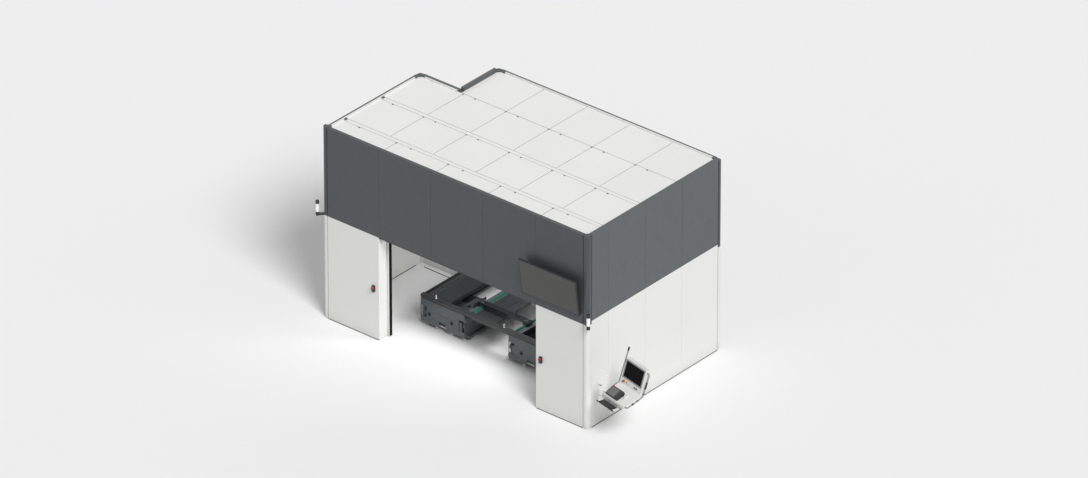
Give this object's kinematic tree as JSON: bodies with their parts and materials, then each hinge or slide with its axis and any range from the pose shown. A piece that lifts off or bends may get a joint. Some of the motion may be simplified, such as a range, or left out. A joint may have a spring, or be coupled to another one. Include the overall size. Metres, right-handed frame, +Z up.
{
  "type": "fiber laser cutting machine",
  "caption": "Enclosed laser cutting machine: panelled cabin with an open lift doorway, low cutting bed with scrap drawers, moving portal with tilting head, and a swing-arm operator console.",
  "frame": {"origin": "centre of the foot of the front left corner post, on the floor", "axes": "+X along the front of the cabin towards the console, +Y from the doorway to the back wall, +Z up"},
  "size_m": [7.5121, 4.1422, 4],
  "materials": {
    "white_paint": "satin white enamel",
    "roof_paint": "satin white enamel",
    "dark_paint": "satin dark grey enamel",
    "black_paint": "satin black enamel",
    "bed_paint": "satin slate enamel",
    "beam_paint": "worn grey-brown enamel",
    "green_paint": "satin green enamel",
    "bare_steel": "brushed",
    "ground_steel": "ground",
    "grey_tube": "satin grey enamel",
    "copper": "turned copper",
    "lamp_lens": "opal",
    "black_plastic": "fine grain",
    "white_plastic": "fine grain",
    "grey_plastic": "fine grain",
    "red_plastic": "moulded",
    "yellow_plastic": "moulded",
    "blue_plastic": "moulded",
    "display_frame": "fine grain",
    "display_face": "coated panel",
    "screen_glass": "dark glass",
    "tablet_face": "coated panel"
  },
  "bodies": {
    "cabin": {"bed_plates": "bed_paint", "cabin_frame": "white_paint", "corner_posts_lower": "white_paint", "corner_posts_upper": "dark_paint", "door_guides": "black_paint", "energy_chain": "black_plastic", "extraction_collar": "bare_steel", "fascia_panels": "dark_paint", "fascia_trim": "black_paint", "fixture_rails": "green_paint", "front_beam": "beam_paint", "front_panels": "white_paint", "lamp_bodies": "black_paint", "lamp_lenses": "lamp_lens", "left_bed_frame": "bed_paint", "levelling_feet": "bare_steel", "lower_wall_panels": "white_paint", "portal_rails": "ground_steel", "right_bed_frame": "bed_paint", "roof_cover_strips": "roof_paint", "roof_panels": "roof_paint", "station_boxes": "black_plastic", "upper_wall_panels": "dark_paint", "wall_brackets": "white_paint"},
    "door_lower": {"door_leaf_lower": "white_paint"},
    "door_upper": {"door_leaf_upper": "white_paint"},
    "portal": {"portal_columns": "bed_paint", "portal_beam": "white_paint"},
    "carriage": {"carriage": "bed_paint"},
    "ram": {"ram": "ground_steel"},
    "fork": {"turning_fork": "white_paint"},
    "head": {"cutting_head": "bare_steel", "nozzle": "copper"},
    "fixture": {"fixture_beam": "bare_steel"},
    "left_drawer": {"left_scrap_drawer": "bed_paint"},
    "right_drawer": {"right_scrap_drawer": "bed_paint"},
    "left_wheels": {"left_drawer_wheels": "white_plastic"},
    "right_wheels": {"right_drawer_wheels": "white_plastic"},
    "display": {"display_housing": "display_frame", "display_screen": "display_face"},
    "arm": {"arm_link": "white_paint"},
    "console": {"console_housing": "white_paint", "console_bezel": "grey_plastic", "console_screen": "screen_glass", "console_handles": "grey_tube", "stop_collar": "yellow_plastic", "tablet_pendant": "black_plastic", "tablet_screen": "tablet_face", "desk_mouse": "white_plastic", "console_neck": "white_paint"},
    "tray": {"keyboard_tray": "white_paint", "keyboard": "black_plastic"},
    "console_stop": {"console_stop_button": "red_plastic"},
    "console_blue": {"console_blue_button": "blue_plastic"},
    "knob_left": {"console_knob_left": "black_plastic"},
    "knob_right": {"console_knob_right": "black_plastic"},
    "left_stop": {"left_stop_button": "red_plastic"},
    "right_stop": {"right_stop_button": "red_plastic"},
    "left_start": {"left_start_button": "black_plastic"},
    "right_start": {"right_start_button": "black_plastic"}
  },
  "joints": [
    {"name": "door_lower_slide", "type": "slide", "parent": "cabin", "child": "door_lower", "axis": [0, 0, 1], "range_m": [-2.153, 0]},
    {"name": "door_upper_slide", "type": "slide", "parent": "cabin", "child": "door_upper", "axis": [0, 0, 1], "range_m": [-1.0765, 0]},
    {"name": "portal_travel", "type": "slide", "parent": "cabin", "child": "portal", "axis": [0, -1, 0], "range_m": [0, 1.65]},
    {"name": "carriage_travel", "type": "slide", "parent": "portal", "child": "carriage", "axis": [1, 0, 0], "range_m": [-1.15, 1.15]},
    {"name": "ram_travel", "type": "slide", "parent": "carriage", "child": "ram", "axis": [0, 0, -1], "range_m": [0, 0.6]},
    {"name": "fork_turn", "type": "hinge", "parent": "ram", "child": "fork", "pos_m": [3.14, 2.6637, 1.838], "axis": [0, 0, 1], "range_deg": [-180, 180]},
    {"name": "head_tilt", "type": "hinge", "parent": "fork", "child": "head", "pos_m": [3.14, 2.6637, 1.638], "axis": [1, 0, 0], "range_deg": [-110, 110]},
    {"name": "fixture_travel", "type": "slide", "parent": "cabin", "child": "fixture", "axis": [0, 1, 0], "range_m": [-0.12, 0.9]},
    {"name": "left_drawer_slide", "type": "slide", "parent": "cabin", "child": "left_drawer", "axis": [0, -1, 0], "range_m": [0, 0.8]},
    {"name": "left_wheel_spin", "type": "hinge", "parent": "left_drawer", "child": "left_wheels", "pos_m": [1.985, 0.978, 0.06], "axis": [1, 0, 0], "continuous": true},
    {"name": "right_drawer_slide", "type": "slide", "parent": "cabin", "child": "right_drawer", "axis": [0, -1, 0], "range_m": [0, 0.8]},
    {"name": "right_wheel_spin", "type": "hinge", "parent": "right_drawer", "child": "right_wheels", "pos_m": [4.075, 0.978, 0.06], "axis": [1, 0, 0], "continuous": true},
    {"name": "display_tilt", "type": "hinge", "parent": "cabin", "child": "display", "pos_m": [5.385, -0.09427, 2.70946], "axis": [1, 0, 0], "range_deg": [-9.4, 0]},
    {"name": "shoulder_swing", "type": "hinge", "parent": "cabin", "child": "arm", "pos_m": [6.295, 0.3, 0.745], "axis": [0, 0, 1], "range_deg": [-20, 35]},
    {"name": "elbow_swing", "type": "hinge", "parent": "arm", "child": "console", "pos_m": [6.46, 0.05, 0.815], "axis": [0, 0, 1], "range_deg": [-45, 20]},
    {"name": "tray_slide", "type": "slide", "parent": "console", "child": "tray", "axis": [-0.23, -0.9732, 0], "range_m": [0, 0.18]},
    {"name": "console_stop_press", "type": "slide", "parent": "console", "child": "console_stop", "axis": [0.2188, 0.9255, -0.309], "range_m": [0, 0.005]},
    {"name": "console_blue_press", "type": "slide", "parent": "console", "child": "console_blue", "axis": [0.2188, 0.9255, -0.309], "range_m": [0, 0.005], "stiffness_N_per_m": 600},
    {"name": "knob_left_turn", "type": "hinge", "parent": "console", "child": "knob_left", "pos_m": [7.07948, 0.2187, 1.08921], "axis": [-0.2188, -0.9255, 0.309], "range_deg": [-60, 60]},
    {"name": "knob_right_turn", "type": "hinge", "parent": "console", "child": "knob_right", "pos_m": [7.13028, 0.20669, 1.08921], "axis": [-0.2188, -0.9255, 0.309], "range_deg": [-60, 60]},
    {"name": "left_stop_press", "type": "slide", "parent": "cabin", "child": "left_stop", "axis": [0, 1, 0], "range_m": [0, 0.005]},
    {"name": "left_start_press", "type": "slide", "parent": "cabin", "child": "left_start", "axis": [0, 1, 0], "range_m": [0, 0.005], "stiffness_N_per_m": 600},
    {"name": "right_stop_press", "type": "slide", "parent": "cabin", "child": "right_stop", "axis": [0, 1, 0], "range_m": [0, 0.005]},
    {"name": "right_start_press", "type": "slide", "parent": "cabin", "child": "right_start", "axis": [0, 1, 0], "range_m": [0, 0.005], "stiffness_N_per_m": 600}
  ],
  "couplings": [
    {"joint": "door_upper_slide", "follows": "door_lower_slide", "ratio": 0.5}
  ]
}
